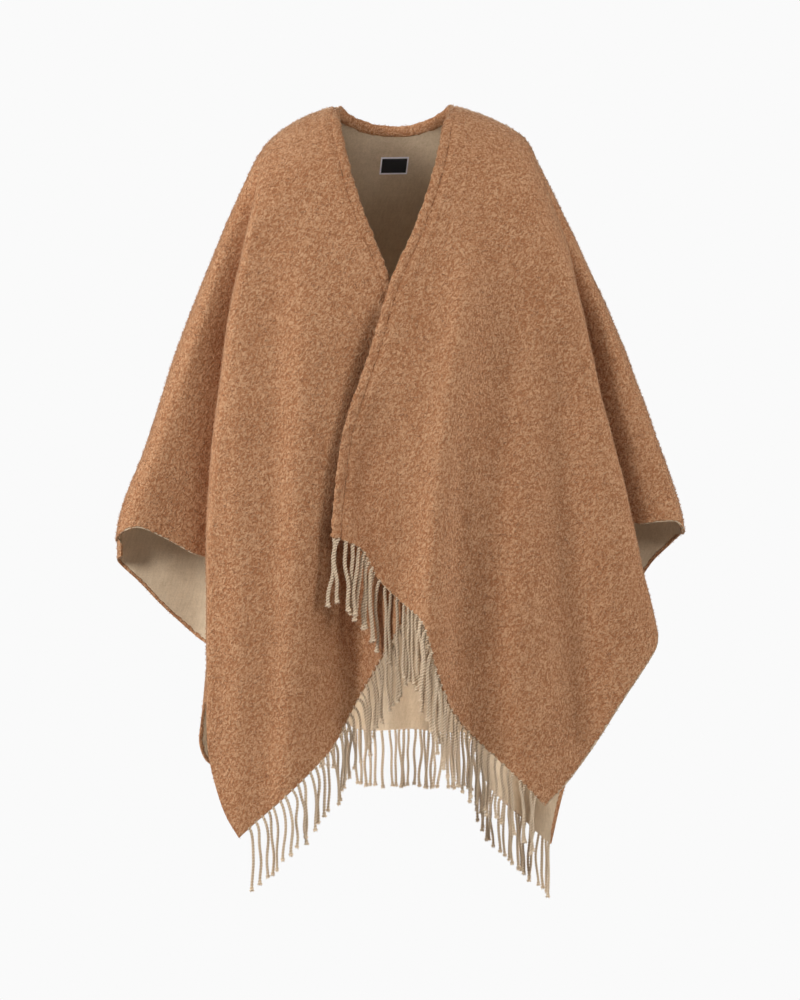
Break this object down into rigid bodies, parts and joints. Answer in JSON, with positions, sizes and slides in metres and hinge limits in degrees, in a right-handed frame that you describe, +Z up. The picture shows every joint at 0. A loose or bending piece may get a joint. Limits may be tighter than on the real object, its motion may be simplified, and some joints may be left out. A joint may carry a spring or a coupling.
{
  "type": "wool cape",
  "caption": "Open-front wool cape with crossed fronts, turned neck edge and twisted fringe on its hems, in the hollow form it has when worn.",
  "frame": {"origin": "midway between the two neck points on the shoulder line, where the shoulders carry the cape", "axes": "+Z up, -Y the wearer's front, +X the wearer's left"},
  "size_m": [0.826, 0.3516, 1.1655],
  "materials": {
    "wool": "brushed curly wool, camel outside and smooth beige inside",
    "wool_edge": "the same camel wool, turned and stitched",
    "fringe": "beige twisted wool cord",
    "label": "black woven satin with a pale edge"
  },
  "bodies": {
    "root": {"front_right": "wool", "front_left": "wool", "back": "wool", "neck_band": "wool_edge", "fringe_right": "fringe", "fringe_left": "fringe", "fringe_back": "fringe", "label": "label"}
  },
  "joints": []
}
